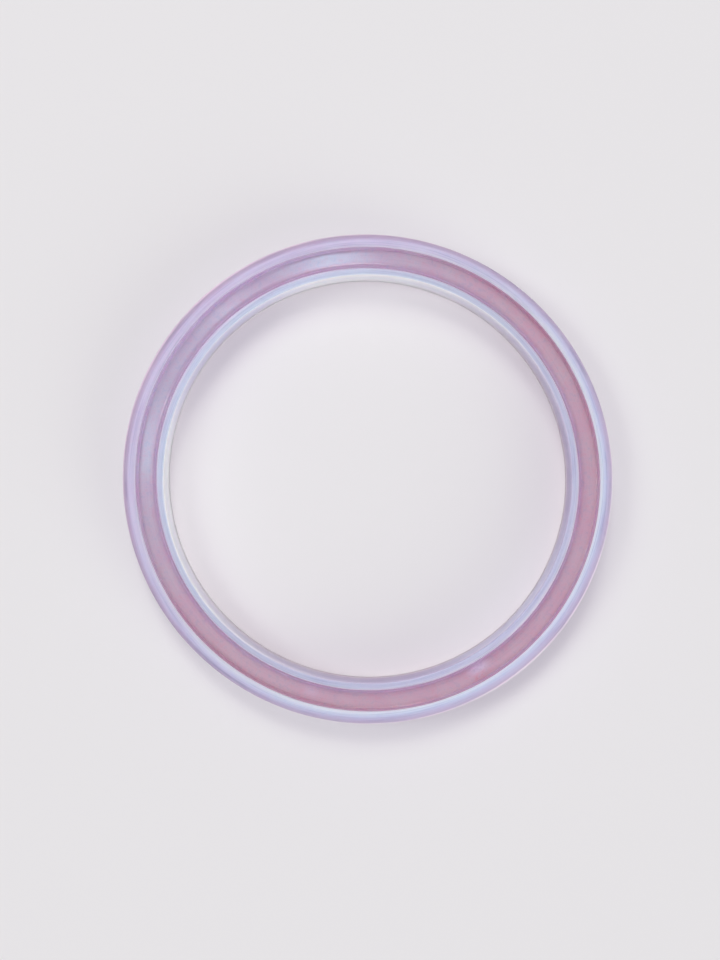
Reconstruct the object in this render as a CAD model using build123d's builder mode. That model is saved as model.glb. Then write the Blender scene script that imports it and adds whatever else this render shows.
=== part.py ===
from build123d import *
import os
from math import radians, sqrt, tan

# Coffee machine seal: one moulded silicone ring, lying with its groove upwards
# Millimetres. The origin is on the ring's axis, in the plane of its flat underside.

# Ring
outer_diameter = 65.0
bore_diameter = 54.0
ring_height = 8.3

# Groove between the two lips
groove_outer_diameter = 61.58
groove_inner_diameter = 55.82
groove_depth = 2.5
outer_wall_draft = 2.0
inner_wall_draft = 12.0

# Crown and outer slope of the wide lip
crown_radius = 2.6
crown_crest_diameter = 62.56
crown_width = 1.15
slope_angle = 52.0

# Rounds of the edges that the light runs along
slope_round = 0.6
shoulder_round = 0.2
groove_outer_round = 0.25
groove_inner_round = 0.6

# Bevels of the edges at the mould's parting faces and at the groove's mouth
underside_bevel = 0.25
inner_lip_bevel = 0.15
groove_mouth_bevel = 0.06

# Radii that the section is drawn with
outer_radius = outer_diameter / 2
bore_radius = bore_diameter / 2
mouth_outer = groove_outer_diameter / 2
mouth_inner = groove_inner_diameter / 2
crest = crown_crest_diameter / 2
crown_end = mouth_outer + crown_width


def crown_height(radius):
    """Height of the wide lip's crowned top at a distance from the ring's axis"""
    return ring_height - crown_radius + sqrt(crown_radius**2 - (radius - crest) ** 2)


# The slope falls from the crown's end to the shoulder on the outer wall
shoulder_height = crown_height(crown_end) - (outer_radius - crown_end) * tan(radians(slope_angle))

# The groove's walls lean back from its floor, the inner one more, so its lip is thicker at the root
floor_height = ring_height - groove_depth
floor_outer = mouth_outer - groove_depth * tan(radians(outer_wall_draft))
floor_inner = mouth_inner + groove_depth * tan(radians(inner_wall_draft))

# Corners of the section, as distance from the axis and height
underside_bore = (bore_radius, 0)
underside_outer = (outer_radius, 0)
shoulder = (outer_radius, shoulder_height)
crown_outer = (crown_end, crown_height(crown_end))
crown_top = (crest, ring_height)
crown_inner = (mouth_outer, crown_height(mouth_outer))
groove_outer = (floor_outer, floor_height)
groove_inner = (floor_inner, floor_height)
lip_groove = (mouth_inner, ring_height)
lip_bore = (bore_radius, ring_height)

rounded_corners = [
    (shoulder, shoulder_round),
    (crown_outer, slope_round),
    (groove_outer, groove_outer_round),
    (groove_inner, groove_inner_round),
]
bevelled_corners = [
    (underside_bore, underside_bevel),
    (underside_outer, underside_bevel),
    (crown_inner, groove_mouth_bevel),
    (lip_groove, inner_lip_bevel),
    (lip_bore, inner_lip_bevel),
]

# Seal ring
with BuildPart() as seal_ring:
    with BuildSketch(Plane.XZ) as section:
        with BuildLine():
            Polyline(underside_bore, underside_outer, shoulder, crown_outer)
            ThreePointArc(crown_outer, crown_top, crown_inner)
            Polyline(crown_inner, groove_outer, groove_inner, lip_groove, lip_bore, underside_bore)
        make_face()
        for corner, radius in rounded_corners:
            fillet(section.vertices().sort_by_distance(corner)[0], radius)
        for corner, length in bevelled_corners:
            chamfer(section.vertices().sort_by_distance(corner)[0], length)
    revolve(axis=Axis.Z)

seal_ring.part.label = "seal_ring"

os.makedirs("parts", exist_ok=True)
export_step(seal_ring.part, "parts/seal_ring.step")

print("volume mm3", round(seal_ring.part.volume, 1))
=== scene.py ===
import math

import bmesh
import bpy
from mathutils import Matrix, Vector


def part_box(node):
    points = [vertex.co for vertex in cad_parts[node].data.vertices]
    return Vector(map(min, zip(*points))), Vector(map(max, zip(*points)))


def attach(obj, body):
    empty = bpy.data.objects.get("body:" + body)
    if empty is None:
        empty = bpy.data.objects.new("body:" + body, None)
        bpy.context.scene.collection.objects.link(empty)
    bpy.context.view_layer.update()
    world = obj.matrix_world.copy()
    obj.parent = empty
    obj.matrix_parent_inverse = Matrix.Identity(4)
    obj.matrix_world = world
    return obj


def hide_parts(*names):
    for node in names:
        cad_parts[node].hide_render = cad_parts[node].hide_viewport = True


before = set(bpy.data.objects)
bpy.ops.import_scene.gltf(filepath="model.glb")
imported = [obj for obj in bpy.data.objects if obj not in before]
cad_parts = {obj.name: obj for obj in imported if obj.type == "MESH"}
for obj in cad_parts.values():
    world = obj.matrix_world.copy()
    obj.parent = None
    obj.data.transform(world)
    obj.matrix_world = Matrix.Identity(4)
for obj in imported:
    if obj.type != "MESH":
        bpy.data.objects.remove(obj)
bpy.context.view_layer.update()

# A moulded ring seal of milky silicone, lying with its groove upwards on a pale floor.
# Lengths are in metres, so a value in millimetres is written with MM.

MM = 0.001

# Ring, from the frame
OUTER_RADIUS, _, RING_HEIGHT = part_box("seal_ring")[1]

# Section of the ring
BORE_RADIUS = 27.0 * MM
GROOVE_OUTER = 30.79 * MM
GROOVE_INNER = 27.91 * MM
GROOVE_DEPTH = 2.5 * MM
GROOVE_FLOOR = RING_HEIGHT - GROOVE_DEPTH
OUTER_DRAFT = math.radians(2)
INNER_DRAFT = math.radians(12)

CREST_RADIUS = 31.28 * MM
CROWN_ROUND = 2.6 * MM
CROWN_RISE = math.radians(10)
CROWN_FALL = math.radians(14)
CROWN_END = 31.94 * MM
SLOPE = math.radians(52)

# Fine bead that the mould's parting line leaves along the bore's lower edge
BEAD = 0.1 * MM
BEAD_HEIGHT = 0.3 * MM
BEAD_TOP = BEAD_HEIGHT + 1.2 * BEAD

# Rounds of the section's corners
UNDERSIDE_ROUND = 0.25 * MM
BEAD_ROUND = 0.06 * MM
SHOULDER_ROUND = 0.2 * MM
SLOPE_ROUND = 0.6 * MM
MOUTH_ROUND = 0.1 * MM
GROOVE_OUTER_ROUND = 0.25 * MM
GROOVE_INNER_ROUND = 0.6 * MM
INNER_LIP_ROUND = 0.2 * MM

# A line this near to each end of a flat stretch keeps the stretch flat under smooth shading
FLAT_MARGIN = 0.05 * MM
SHORTEST_FLAT = 0.4 * MM

# Steps of the mesh: around the ring, and along a round for each quarter turn and besides
STEPS_AROUND = 480
STEPS_A_QUARTER = 8
STEPS_BESIDES = 2
SAME_POINT = 0.0001 * MM

# Slight oval that the soft ring has taken, longest from the photograph's upper left to lower right
OVAL = 0.0042
OVAL_TURN = math.radians(138)

# Gate mark in the groove: a small pip beside the outer wall, with a pale cloud in front of it and
# a darker reddish patch at the pip, which is painted shade beside the pip.
# A fainter cloud lies farther on. A size is along the ring and across it.
GATE_TURN = math.radians(-59.7)
PIP_RADIUS = 30.2 * MM
PIP_HEIGHT = 0.12 * MM
PIP_EDGE = 0.05 * MM
GATE_PAINTED_SHADE_SIZE = (2.0 * MM, 0.8 * MM)
CLOUD_RADIUS = 29.2 * MM
GATE_CLOUD_SIZE = (2.3 * MM, 1.3 * MM)
SECOND_CLOUD_TURN = math.radians(-105)
SECOND_CLOUD_SIZE = (1.8 * MM, 1.3 * MM)
SPOT_DEPTH = 3 * MM


def section_corners():
    """Corners of the ring's section, each with its distance from the axis, height and round"""
    crown_centre = RING_HEIGHT - CROWN_ROUND
    rise_radius = CREST_RADIUS - CROWN_ROUND * math.sin(CROWN_RISE)
    rise_height = crown_centre + CROWN_ROUND * math.cos(CROWN_RISE)
    fall_radius = CREST_RADIUS + CROWN_ROUND * math.sin(CROWN_FALL)
    fall_height = crown_centre + CROWN_ROUND * math.cos(CROWN_FALL)
    rise, fall = math.tan(CROWN_RISE), math.tan(CROWN_FALL)
    apex = (fall_height + fall_radius * fall - rise_height + rise_radius * rise) / (rise + fall)
    apex_height = rise_height + (apex - rise_radius) * rise
    mouth_height = rise_height + (GROOVE_OUTER - rise_radius) * rise
    slope_top = fall_height - (CROWN_END - fall_radius) * fall
    shoulder = slope_top - (OUTER_RADIUS - CROWN_END) * math.tan(SLOPE)
    floor_outer = GROOVE_OUTER - GROOVE_DEPTH * math.tan(OUTER_DRAFT)
    floor_inner = GROOVE_INNER + GROOVE_DEPTH * math.tan(INNER_DRAFT)
    return [
        (BORE_RADIUS - BEAD, BEAD_HEIGHT, BEAD_ROUND),
        (BORE_RADIUS, 0, BEAD_ROUND),
        (OUTER_RADIUS, 0, UNDERSIDE_ROUND),
        (OUTER_RADIUS, shoulder, SHOULDER_ROUND),
        (CROWN_END, slope_top, SLOPE_ROUND),
        (apex, apex_height, CROWN_ROUND),
        (GROOVE_OUTER, mouth_height, MOUTH_ROUND),
        (floor_outer, GROOVE_FLOOR, GROOVE_OUTER_ROUND),
        (PIP_RADIUS, GROOVE_FLOOR, 0),
        (floor_inner, GROOVE_FLOOR, GROOVE_INNER_ROUND),
        (GROOVE_INNER, RING_HEIGHT, INNER_LIP_ROUND),
        (BORE_RADIUS, RING_HEIGHT, INNER_LIP_ROUND),
        (BORE_RADIUS, BEAD_TOP, BEAD_ROUND),
    ]


def draw_section(shape):
    """Draw the section as a closed line, round its corners and hold its flat stretches"""
    corners = section_corners()
    points = [shape.verts.new((radius, 0, height)) for radius, height, _ in corners]
    for start, end in zip(points, points[1:] + points[:1]):
        shape.edges.new((start, end))
    for index, (radius, height, round_radius) in enumerate(corners):
        if not round_radius:
            continue
        before = Vector(corners[index - 1][:2])
        here = Vector((radius, height))
        after = Vector(corners[(index + 1) % len(corners)][:2])
        turn = (here - before).angle(after - here)
        bmesh.ops.bevel(
            shape,
            geom=[points[index]],
            offset=round_radius * math.tan(turn / 2),
            offset_type="OFFSET",
            affect="VERTICES",
            segments=STEPS_BESIDES + math.ceil(STEPS_A_QUARTER * turn / math.radians(90)),
            profile=0.5,
            clamp_overlap=False,
            material=-1,
        )
    for flat in [edge for edge in shape.edges if edge.calc_length() > SHORTEST_FLAT]:
        start, end = flat.verts
        parts = flat, bmesh.utils.edge_split(flat, start, FLAT_MARGIN / flat.calc_length())[0]
        rest = max(parts, key=lambda edge: edge.calc_length())
        bmesh.utils.edge_split(rest, end, FLAT_MARGIN / rest.calc_length())


def raise_pip(shape):
    """Raise the gate's pip from the groove's floor, beside the outer wall"""
    beside_wall = Vector((PIP_RADIUS + PIP_HEIGHT, 0, GROOVE_FLOOR))
    place = Matrix.Rotation(GATE_TURN, 3, "Z") @ beside_wall
    pip = min(shape.faces, key=lambda face: (face.calc_center_median() - place).length)
    steps = [(PIP_EDGE, 0), (PIP_EDGE / 2, PIP_HEIGHT * 2 / 3), (PIP_EDGE, PIP_HEIGHT / 3)]
    for thickness, depth in steps:
        bmesh.ops.inset_region(shape, faces=[pip], thickness=thickness, depth=depth)


def fit_to_frame(shape):
    """Press the ring slightly oval, and fit it into the frame's box"""
    turn = Matrix.Rotation(OVAL_TURN, 4, "Z")
    press = turn @ Matrix.Diagonal((1 + OVAL, 1 - OVAL, 1, 1)) @ turn.inverted()
    bmesh.ops.transform(shape, matrix=press, verts=shape.verts[:])
    reach = max(max(abs(vert.co.x), abs(vert.co.y)) for vert in shape.verts)
    top = max(vert.co.z for vert in shape.verts)
    across = OUTER_RADIUS / reach
    bmesh.ops.scale(shape, vec=(across, across, RING_HEIGHT / top), verts=shape.verts[:])


def place_mesh(shape, name):
    """Put a finished shape into the scene as an object"""
    mesh = bpy.data.meshes.new(name)
    shape.to_mesh(mesh)
    shape.free()
    piece = bpy.data.objects.new(name, mesh)
    bpy.context.scene.collection.objects.link(piece)
    return piece


def make_seal():
    """Spin the section into the ring"""
    shape = bmesh.new()
    draw_section(shape)
    bmesh.ops.spin(
        shape,
        geom=shape.verts[:] + shape.edges[:],
        cent=(0, 0, 0),
        axis=(0, 0, 1),
        angle=math.tau,
        steps=STEPS_AROUND,
        use_merge=True,
    )
    bmesh.ops.remove_doubles(shape, verts=shape.verts[:], dist=SAME_POINT)
    bmesh.ops.recalc_face_normals(shape, faces=shape.faces[:])
    raise_pip(shape)
    fit_to_frame(shape)
    for face in shape.faces:
        face.smooth = True
    return place_mesh(shape, "silicone_ring")


# Steps that materials are built from
def colour(red, green, blue):
    """Linear colour with alpha, from the 0 to 255 values that a screen shows"""
    def linear(value):
        value /= 255
        return value / 12.92 if value <= 0.04045 else ((value + 0.055) / 1.055) ** 2.4

    return (linear(red), linear(green), linear(blue), 1.0)


def feed(tree, socket, value):
    """Link a socket to another one, or set its value"""
    if isinstance(value, bpy.types.NodeSocket):
        tree.links.new(value, socket)
    else:
        socket.default_value = value


def maths(tree, operation, *values):
    """Add a Math node and return its result"""
    step = tree.nodes.new("ShaderNodeMath")
    step.operation = operation
    for socket, value in zip(step.inputs, values):
        feed(tree, socket, value)
    return step.outputs["Value"]


def ease(tree, value, low, high, to_low=0.0, to_high=1.0):
    """Smooth step of a value from low to high"""
    step = tree.nodes.new("ShaderNodeMapRange")
    step.interpolation_type = "SMOOTHSTEP"
    feed(tree, step.inputs["Value"], value)
    limits = {"From Min": low, "From Max": high, "To Min": to_low, "To Max": to_high}
    for name, number in limits.items():
        step.inputs[name].default_value = number
    return step.outputs["Result"]


# Places of a Mix node's colour sockets, which share their names with its other kinds
MIX_FIRST, MIX_SECOND, MIX_RESULT = 6, 7, 2


def blend(tree, factor, first, second, mode="MIX"):
    """Mix two colours"""
    step = tree.nodes.new("ShaderNodeMix")
    step.data_type = "RGBA"
    step.blend_type = mode
    feed(tree, step.inputs["Factor"], factor)
    feed(tree, step.inputs[MIX_FIRST], first)
    feed(tree, step.inputs[MIX_SECOND], second)
    return step.outputs[MIX_RESULT]


def bands(tree, value, stops):
    """Colours along a value, each stop given as its place and its colour"""
    low, high = stops[0][0], stops[-1][0]
    place = tree.nodes.new("ShaderNodeMapRange")
    feed(tree, place.inputs["Value"], value)
    place.inputs["From Min"].default_value = low
    place.inputs["From Max"].default_value = high
    ramp = tree.nodes.new("ShaderNodeValToRGB")
    tree.links.new(place.outputs["Result"], ramp.inputs["Fac"])
    elements = ramp.color_ramp.elements
    while len(elements) < len(stops):
        elements.new(0.5)
    for element, (at, shade) in zip(elements, stops):
        element.position = (at - low) / (high - low)
        element.color = shade
    return ramp.outputs["Color"]


def noise(tree, vector, scale, detail, roughness=0.5):
    """Add a Noise texture and return its value"""
    step = tree.nodes.new("ShaderNodeTexNoise")
    feed(tree, step.inputs["Vector"], vector)
    step.inputs["Scale"].default_value = scale
    step.inputs["Detail"].default_value = detail
    step.inputs["Roughness"].default_value = roughness
    return step.outputs["Fac"]


def spot(tree, place, radius, turn, along, across):
    """Soft spot on the ring, along the ring and across it, 1 in its middle and 0 at its rim"""
    frame_of_spot = tree.nodes.new("ShaderNodeMapping")
    frame_of_spot.vector_type = "TEXTURE"
    feed(tree, frame_of_spot.inputs["Vector"], place)
    middle = (radius * math.cos(turn), radius * math.sin(turn), GROOVE_FLOOR)
    frame_of_spot.inputs["Location"].default_value = middle
    frame_of_spot.inputs["Rotation"].default_value = (0, 0, turn)
    frame_of_spot.inputs["Scale"].default_value = (across, along, SPOT_DEPTH)
    length = tree.nodes.new("ShaderNodeVectorMath")
    length.operation = "LENGTH"
    tree.links.new(frame_of_spot.outputs["Vector"], length.inputs[0])
    return ease(tree, length.outputs["Value"], 0.0, 1.0, 1.0, 0.0)


# Silicone's colours by distance from the axis, for the cooler side toward the key and left lamps
# and the warmer side away from them: lit and shaded copies of one silicone, with painted
# highlights along the lip edges and the shoulder, painted shade on the outer slope and painted
# light at the groove's outer foot
LIPS_PAINTED_LAMP_SIDE = [
    # Painted highlight along the inner lip's bore edge, brightest on the lamp side
    (27.00 * MM, colour(228, 234, 249)),
    (27.25 * MM, colour(188, 197, 221)),
    (27.70 * MM, colour(192, 197, 221)),
    # Painted highlight line along the inner lip's groove edge
    (27.88 * MM, colour(206, 202, 224)),
    (30.80 * MM, colour(214, 206, 226)),
    (31.00 * MM, colour(204, 195, 220)),
    (31.60 * MM, colour(202, 192, 218)),
    # Outer slope painted darker: painted shade
    (31.90 * MM, colour(188, 172, 198)),
    (32.30 * MM, colour(186, 166, 188)),
    # Painted highlight line along the shoulder
    (32.44 * MM, colour(226, 204, 220)),
]
LIPS_PAINTED_FAR_SIDE = [
    (27.00 * MM, colour(192, 186, 214)),
    (27.25 * MM, colour(184, 185, 212)),
    (27.70 * MM, colour(192, 194, 217)),
    (27.88 * MM, colour(208, 204, 222)),
    # Painted highlight along the outer lip's groove edge, brightest on the far side
    (30.80 * MM, colour(226, 234, 250)),
    (31.10 * MM, colour(214, 223, 244)),
    (31.40 * MM, colour(197, 204, 229)),
    # Outer slope painted darker: painted shade
    (31.75 * MM, colour(190, 185, 211)),
    (32.30 * MM, colour(193, 179, 202)),
    # Painted highlight line along the shoulder
    (32.44 * MM, colour(236, 222, 232)),
]
# Groove's colours for the lamp side and the far side: painted light and shade around the ring
GROOVE_PAINTED_LAMP_SIDE = [
    (28.30 * MM, colour(206, 188, 207)),
    (29.00 * MM, colour(208, 192, 210)),
    (29.20 * MM, colour(209, 199, 214)),
    (30.50 * MM, colour(209, 199, 214)),
    # Painted light at the outer wall's foot, offsetting the shade in that corner
    (30.68 * MM, colour(224, 214, 226)),
    (30.74 * MM, colour(220, 210, 225)),
]
GROOVE_PAINTED_FAR_SIDE = [
    (28.30 * MM, colour(210, 194, 212)),
    (28.80 * MM, colour(212, 185, 199)),
    (30.50 * MM, colour(213, 182, 195)),
    # Painted light at the outer wall's foot, offsetting the shade in that corner
    (30.68 * MM, colour(216, 190, 202)),
    (30.74 * MM, colour(208, 188, 205)),
]

# Colours of the bore's wall by height, for both sides: a nearly white painted glow on the lamp
# side and darker painted shade on the far side. Colours of the outer wall, alike all around
BORE_PAINTED_LAMP_SIDE = [
    # Painted bright line along the bore's lower edge
    (0.5 * MM, colour(255, 253, 255)),
    (3.0 * MM, colour(251, 252, 255)),
    (5.0 * MM, colour(244, 247, 253)),
    (7.2 * MM, colour(254, 254, 255)),
]
BORE_PAINTED_FAR_SIDE = [
    # Painted bright line along the bore's lower edge
    (0.5 * MM, colour(230, 211, 225)),
    (2.0 * MM, colour(189, 171, 199)),
    (5.4 * MM, colour(172, 159, 192)),
    (7.2 * MM, colour(181, 171, 201)),
]
OUTSIDE = [
    (0.2 * MM, colour(218, 208, 224)),
    (2.5 * MM, colour(204, 200, 222)),
    (6.0 * MM, colour(206, 205, 226)),
    (7.3 * MM, colour(220, 212, 228)),
]

# The cooler side, toward the key and left lamps, faces away from this turn; around the ring the
# painted light and shade change from one side to the other. The groove turns warm sooner than the
# lips.
PAINTED_FAR_SIDE_TURN = math.radians(-42)
PAINTED_SIDES_SPAN = (-0.9, 0.9)
GROOVE_PAINTED_SIDES_SPAN = (-0.95, 0.1)

# Where one look eases into the next, as distances from the axis or as heights
BORE_EDGE = (BORE_RADIUS + 0.02 * MM, BORE_RADIUS + 0.12 * MM)
OUTER_SHOULDER = (7.3 * MM, 7.45 * MM)
UNDER_GROOVE = (GROOVE_FLOOR - 1.3 * MM, GROOVE_FLOOR - 0.8 * MM)
OVER_GROOVE = (RING_HEIGHT - 0.4 * MM, RING_HEIGHT - 0.15 * MM)
INSIDE_GROOVE = (BORE_RADIUS + 0.3 * MM, BORE_RADIUS + 0.6 * MM)
OUTSIDE_GROOVE = (30.9 * MM, 31.1 * MM)
LIP_ROOTS = (GROOVE_FLOOR - 1.0 * MM, GROOVE_FLOOR)

# Tints that multiply those colours: milky mottles, wide clouds, and lines around the ring
# from the turned mould
MOTTLES = [
    (0.30, (0.86, 0.92, 0.97, 1.0)),
    (0.48, (0.98, 0.97, 0.98, 1.0)),
    (0.54, (0.98, 0.97, 0.98, 1.0)),
    (0.72, (1.0, 0.88, 0.91, 1.0)),
]
CLOUDS = [
    (0.38, (0.98, 0.93, 0.97, 1.0)),
    (0.62, (0.97, 1.0, 1.0, 1.0)),
]
LINES = [
    (0.3, (0.72, 0.74, 0.79, 1.0)),
    (0.5, (0.95, 0.95, 0.96, 1.0)),
    (0.7, (1.0, 1.0, 1.0, 1.0)),
]
CLOUDS_A_METRE = 260.0
MOTTLES_A_METRE = 2000.0
GRAIN_A_METRE = 7000.0
LINES_A_METRE = 6500.0
LINES_AROUND = 3.0

# Strength of the mottles and clouds on the lips, and of the lines off the lips
PATCHES_ON_LIPS = 0.4
LINES_OFF_LIPS = 0.25

# Gate mark's colours, and how strong they are where the mottles are weak and where strong
GATE_CLOUD = colour(226, 218, 234)
GATE_CLOUD_MOTTLES, GATE_CLOUD_STRENGTH = (0.35, 0.65), (0.5, 1.0)
SECOND_CLOUD_STRENGTH = 0.3
# Darker reddish patch at the pip: painted shade beside the pip
GATE_PAINTED_SHADE = colour(210, 146, 164)
GATE_PAINTED_SHADE_MOTTLES, GATE_PAINTED_SHADE_STRENGTH = (0.4, 0.6), (0.12, 0.65)

# Inside and surface of the silicone. The roughness follows the lines.
REFRACTION = 1.41
SCATTER_SHARES = (1.0, 0.9, 1.0)
SCATTER_DEPTH = 4.0 * MM
LINES_SPAN = (0.3, 0.7)
LIP_ROUGHNESS = (0.36, 0.46)
GROOVE_ROUGHNESS = (0.07, 0.11)
LINES_RELIEF, GRAIN_RELIEF = 0.6, 0.4
GROOVE_RELIEF = 0.15
RELIEF_STRENGTH = 0.35
RELIEF_DEPTH = 0.01 * MM

# Share of a lamp's light that the thin lips and the thicker body pass on to the floor
LIP_PASSES = (0.84, 0.80, 0.84, 1.0)
BODY_PASSES = (0.34, 0.30, 0.34, 1.0)


def silicone():
    """Milky silicone: blue-white on the lips, and warmer and smoother in the groove"""
    material = bpy.data.materials.new("milky_silicone")
    material.use_nodes = True
    tree = material.node_tree
    shader = tree.nodes["Principled BSDF"]
    shader.inputs["IOR"].default_value = REFRACTION
    shader.inputs["Subsurface Weight"].default_value = 1.0
    shader.inputs["Subsurface Radius"].default_value = SCATTER_SHARES
    shader.inputs["Subsurface Scale"].default_value = SCATTER_DEPTH

    place = tree.nodes.new("ShaderNodeTexCoord").outputs["Object"]
    split = tree.nodes.new("ShaderNodeSeparateXYZ")
    tree.links.new(place, split.inputs["Vector"])
    x, y, height = split.outputs
    squares = maths(tree, "ADD", maths(tree, "MULTIPLY", x, x), maths(tree, "MULTIPLY", y, y))
    radius = maths(tree, "SQRT", squares)
    east, north = maths(tree, "DIVIDE", x, radius), maths(tree, "DIVIDE", y, radius)

    # Painted light and shade: the silicone is painted cooler on the side toward the key and left
    # lamps, at the upper left as the camera sees it, and warmer on the far side, at its lower
    # right
    to_far_side = maths(
        tree,
        "ADD",
        maths(tree, "MULTIPLY", east, math.cos(PAINTED_FAR_SIDE_TURN)),
        maths(tree, "MULTIPLY", north, math.sin(PAINTED_FAR_SIDE_TURN)),
    )
    painted_side = ease(tree, to_far_side, *PAINTED_SIDES_SPAN)
    groove_painted_side = ease(tree, to_far_side, *GROOVE_PAINTED_SIDES_SPAN)
    lips = blend(tree, painted_side, bands(tree, radius, LIPS_PAINTED_LAMP_SIDE), bands(tree, radius, LIPS_PAINTED_FAR_SIDE))
    bore = blend(tree, painted_side, bands(tree, height, BORE_PAINTED_LAMP_SIDE), bands(tree, height, BORE_PAINTED_FAR_SIDE))
    groove_lamp_side, groove_far_side = bands(tree, radius, GROOVE_PAINTED_LAMP_SIDE), bands(tree, radius, GROOVE_PAINTED_FAR_SIDE)
    groove = blend(tree, groove_painted_side, groove_lamp_side, groove_far_side)

    in_bore = ease(tree, radius, *BORE_EDGE, 1.0, 0.0)
    below_shoulder = ease(tree, height, *OUTER_SHOULDER, 1.0, 0.0)
    shade = blend(tree, below_shoulder, lips, bands(tree, height, OUTSIDE))
    shade = blend(tree, in_bore, shade, bore)
    in_groove = ease(tree, height, *UNDER_GROOVE)
    for mask in (
        ease(tree, height, *OVER_GROOVE, 1.0, 0.0),
        ease(tree, radius, *INSIDE_GROOVE),
        ease(tree, radius, *OUTSIDE_GROOVE, 1.0, 0.0),
    ):
        in_groove = maths(tree, "MULTIPLY", in_groove, mask)
    shade = blend(tree, in_groove, shade, groove)

    # Lines around the ring, clouds, mottles, and a finer grain
    along = tree.nodes.new("ShaderNodeCombineXYZ")
    for socket, value in zip(along.inputs, (east, north)):
        feed(tree, socket, maths(tree, "MULTIPLY", value, LINES_AROUND))
    across = maths(tree, "MULTIPLY", maths(tree, "ADD", radius, height), LINES_A_METRE)
    feed(tree, along.inputs["Z"], across)
    lines = noise(tree, along.outputs["Vector"], scale=1.0, detail=3.0, roughness=0.65)
    clouds = noise(tree, place, CLOUDS_A_METRE, detail=2.0)
    mottles = noise(tree, place, MOTTLES_A_METRE, detail=3.0, roughness=0.6)
    grain = noise(tree, place, GRAIN_A_METRE, detail=2.0, roughness=0.6)

    # Gate mark
    cloud = spot(tree, place, CLOUD_RADIUS, GATE_TURN, *GATE_CLOUD_SIZE)
    mottled = ease(tree, mottles, *GATE_CLOUD_MOTTLES, *GATE_CLOUD_STRENGTH)
    shade = blend(tree, maths(tree, "MULTIPLY", cloud, mottled), shade, GATE_CLOUD)
    cloud = spot(tree, place, CLOUD_RADIUS, SECOND_CLOUD_TURN, *SECOND_CLOUD_SIZE)
    faint = maths(tree, "MULTIPLY", cloud, SECOND_CLOUD_STRENGTH)
    shade = blend(tree, faint, shade, GATE_CLOUD)
    # Painted shade at the pip, darker and reddish, patchy with the mottles
    pip_shade = spot(tree, place, PIP_RADIUS, GATE_TURN, *GATE_PAINTED_SHADE_SIZE)
    mottled = ease(tree, mottles, *GATE_PAINTED_SHADE_MOTTLES, *GATE_PAINTED_SHADE_STRENGTH)
    shade = blend(tree, maths(tree, "MULTIPLY", pip_shade, mottled), shade, GATE_PAINTED_SHADE)

    patchy = ease(tree, in_groove, 0.0, 1.0, PATCHES_ON_LIPS, 1.0)
    shade = blend(tree, patchy, shade, bands(tree, mottles, MOTTLES), "MULTIPLY")
    shade = blend(tree, patchy, shade, bands(tree, clouds, CLOUDS), "MULTIPLY")
    off_lips = maths(tree, "MAXIMUM", in_groove, in_bore)
    off_lips = maths(tree, "MAXIMUM", off_lips, below_shoulder)
    lined = ease(tree, off_lips, 0.0, 1.0, 1.0, LINES_OFF_LIPS)
    shade = blend(tree, lined, shade, bands(tree, lines, LINES), "MULTIPLY")
    tree.links.new(shade, shader.inputs["Base Color"])

    # Matt lips and walls, and a smoother groove
    gloss = tree.nodes.new("ShaderNodeMix")
    feed(tree, gloss.inputs["Factor"], in_groove)
    feed(tree, gloss.inputs["A"], ease(tree, lines, *LINES_SPAN, *LIP_ROUGHNESS))
    feed(tree, gloss.inputs["B"], ease(tree, lines, *LINES_SPAN, *GROOVE_ROUGHNESS))
    tree.links.new(gloss.outputs["Result"], shader.inputs["Roughness"])

    # Fine relief, fainter in the groove
    relief = maths(
        tree,
        "ADD",
        maths(tree, "MULTIPLY", lines, LINES_RELIEF),
        maths(tree, "MULTIPLY", grain, GRAIN_RELIEF),
    )
    fainter = ease(tree, in_groove, 0.0, 1.0, 1.0, GROOVE_RELIEF)
    bump = tree.nodes.new("ShaderNodeBump")
    bump.inputs["Strength"].default_value = RELIEF_STRENGTH
    bump.inputs["Distance"].default_value = RELIEF_DEPTH
    feed(tree, bump.inputs["Height"], maths(tree, "MULTIPLY", relief, fainter))
    tree.links.new(bump.outputs["Normal"], shader.inputs["Normal"])

    # Lamps shine part of the way through the silicone, and more through its thin lips
    passed = tree.nodes.new("ShaderNodeBsdfTransparent")
    thinner = ease(tree, height, *LIP_ROOTS)
    feed(tree, passed.inputs["Color"], blend(tree, thinner, BODY_PASSES, LIP_PASSES))
    ray = tree.nodes.new("ShaderNodeLightPath")
    surface = tree.nodes.new("ShaderNodeMixShader")
    tree.links.new(ray.outputs["Is Shadow Ray"], surface.inputs[0])
    tree.links.new(shader.outputs["BSDF"], surface.inputs[1])
    tree.links.new(passed.outputs["BSDF"], surface.inputs[2])
    tree.links.new(surface.outputs["Shader"], tree.nodes["Material Output"].inputs["Surface"])
    return material


# Studio: a pale floor and an even pale sky
FLOOR_RADIUS = 3.0
FLOOR_SIDES = 96
FLOOR_COLOUR = colour(234, 230, 230)
FLOOR_ROUGHNESS = 0.7
FLOOR_SPECULAR = 0.2
SKY_LIGHT = (0.92, 0.95, 1.0, 1.0)
SKY_STRENGTH = 0.39
SKY_SHOWN = colour(236, 234, 235)

# Lamps from the photograph's top and left, and a lower, wider one from its lower right.
# Each has its name, its turn around the ring, its rise, its size, its watts and its colour.
LAMP_DISTANCE = 3.0
LAMPS = [
    ("key_lamp", math.radians(98), math.radians(60), 0.8, 28.0, (1.0, 0.99, 0.97)),
    ("left_lamp", math.radians(170), math.radians(57), 1.0, 22.0, (0.97, 0.98, 1.0)),
    ("fill_lamp", math.radians(-42), math.radians(28), 2.0, 28.0, (0.95, 0.97, 1.0)),
]

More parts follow.
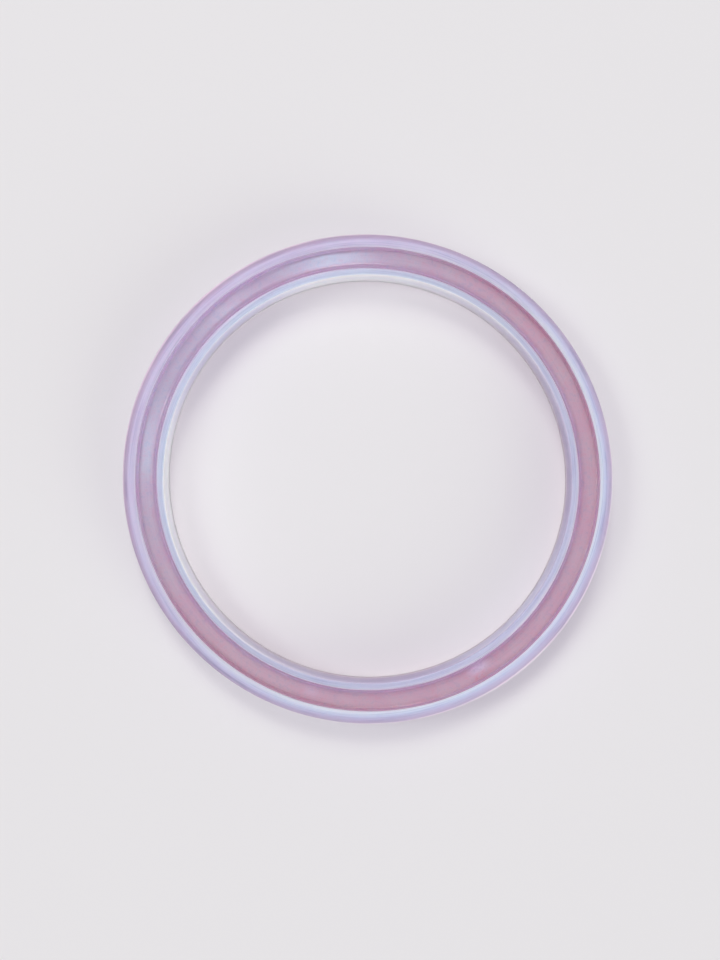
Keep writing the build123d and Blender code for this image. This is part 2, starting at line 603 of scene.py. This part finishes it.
# Three small ceiling panels that mirror as paler patches in the groove's floor.
# Each has its turn around the ring, its size, the radiance of its face and its colour.
PANELS = [
    (math.radians(171), 36 * MM, 7.0, (0.5, 0.9, 1.0)),
    (math.radians(129), 18 * MM, 12.0, (0.85, 0.93, 1.0)),
    (math.radians(98), 37 * MM, 13.0, (0.45, 0.85, 1.0)),
]
PANEL_HEIGHT, PANEL_OFFSET = 0.9, 0.123
PANEL_RISE = math.atan2(PANEL_HEIGHT, PANEL_OFFSET)
PANEL_DISTANCE = math.hypot(PANEL_HEIGHT, PANEL_OFFSET)


def make_floor():
    """Plain pale floor"""
    shape = bmesh.new()
    bmesh.ops.create_circle(shape, cap_ends=True, segments=FLOOR_SIDES, radius=FLOOR_RADIUS)
    floor = place_mesh(shape, "floor")
    material = bpy.data.materials.new("pale_floor")
    material.use_nodes = True
    shader = material.node_tree.nodes["Principled BSDF"]
    shader.inputs["Base Color"].default_value = FLOOR_COLOUR
    shader.inputs["Roughness"].default_value = FLOOR_ROUGHNESS
    shader.inputs["Specular IOR Level"].default_value = FLOOR_SPECULAR
    floor.data.materials.append(material)


def make_lamp(name, turn, rise, distance, size, watts, shade):
    """Round soft lamp that looks at the ring"""
    lamp = bpy.data.lights.new(name, "AREA")
    lamp.shape = "DISK"
    lamp.size = size
    lamp.energy = watts
    lamp.color = shade
    level = math.cos(rise)
    direction = Vector((level * math.cos(turn), level * math.sin(turn), math.sin(rise)))
    holder = bpy.data.objects.new(name, lamp)
    holder.location = direction * distance
    holder.rotation_euler = (-direction).to_track_quat("-Z", "Y").to_euler()
    bpy.context.scene.collection.objects.link(holder)


def make_lights():
    """Lamps and ceiling panels"""
    for name, turn, rise, size, watts, shade in LAMPS:
        make_lamp(name, turn, rise, LAMP_DISTANCE, size, watts, shade)
    for turn, size, radiance, shade in PANELS:
        watts = radiance * (math.pi * size / 2) ** 2
        make_lamp("ceiling_panel", turn, PANEL_RISE, PANEL_DISTANCE, size, watts, shade)


def make_sky():
    """Even light from all around, and a pale background where the sky is seen or mirrored"""
    world = bpy.data.worlds.new("pale_sky")
    bpy.context.scene.world = world
    world.use_nodes = True
    tree = world.node_tree
    light = tree.nodes["Background"]
    light.inputs["Color"].default_value = SKY_LIGHT
    light.inputs["Strength"].default_value = SKY_STRENGTH
    seen = tree.nodes.new("ShaderNodeBackground")
    seen.inputs["Color"].default_value = SKY_SHOWN
    ray = tree.nodes.new("ShaderNodeLightPath")
    shown = maths(tree, "MAXIMUM", ray.outputs["Is Camera Ray"], ray.outputs["Is Glossy Ray"])
    shown = maths(tree, "MAXIMUM", shown, ray.outputs["Is Transmission Ray"])
    sky = tree.nodes.new("ShaderNodeMixShader")
    tree.links.new(shown, sky.inputs[0])
    tree.links.new(light.outputs["Background"], sky.inputs[1])
    tree.links.new(seen.outputs["Background"], sky.inputs[2])
    tree.links.new(sky.outputs["Shader"], tree.nodes["World Output"].inputs["Surface"])


# Camera: straight above, where the ring's middle lies at the photograph's pixel
PHOTO_WIDTH, PHOTO_HEIGHT = 720, 960
RING_PIXEL = (367.7, 479.1)
CAMERA_HEIGHT = 285 * MM
FOCAL_PIXELS = 2092.0
SENSOR = 36.0


def make_camera():
    """Camera straight above the ring"""
    camera = bpy.data.cameras.new("camera")
    camera.sensor_width = SENSOR
    camera.lens = FOCAL_PIXELS * SENSOR / PHOTO_HEIGHT
    holder = bpy.data.objects.new("camera", camera)
    metres_a_pixel = (CAMERA_HEIGHT - RING_HEIGHT) / FOCAL_PIXELS
    to_left = (RING_PIXEL[0] - PHOTO_WIDTH / 2) * metres_a_pixel
    to_bottom = (PHOTO_HEIGHT / 2 - RING_PIXEL[1]) * metres_a_pixel
    holder.location = (-to_left, -to_bottom, CAMERA_HEIGHT)
    bpy.context.scene.collection.objects.link(holder)
    bpy.context.scene.camera = holder


make_camera()
make_floor()
make_lights()
make_sky()
seal = make_seal()
seal.data.materials.append(silicone())
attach(seal, "root")
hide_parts("seal_ring")

bpy.context.scene.view_settings.view_transform = "Standard"
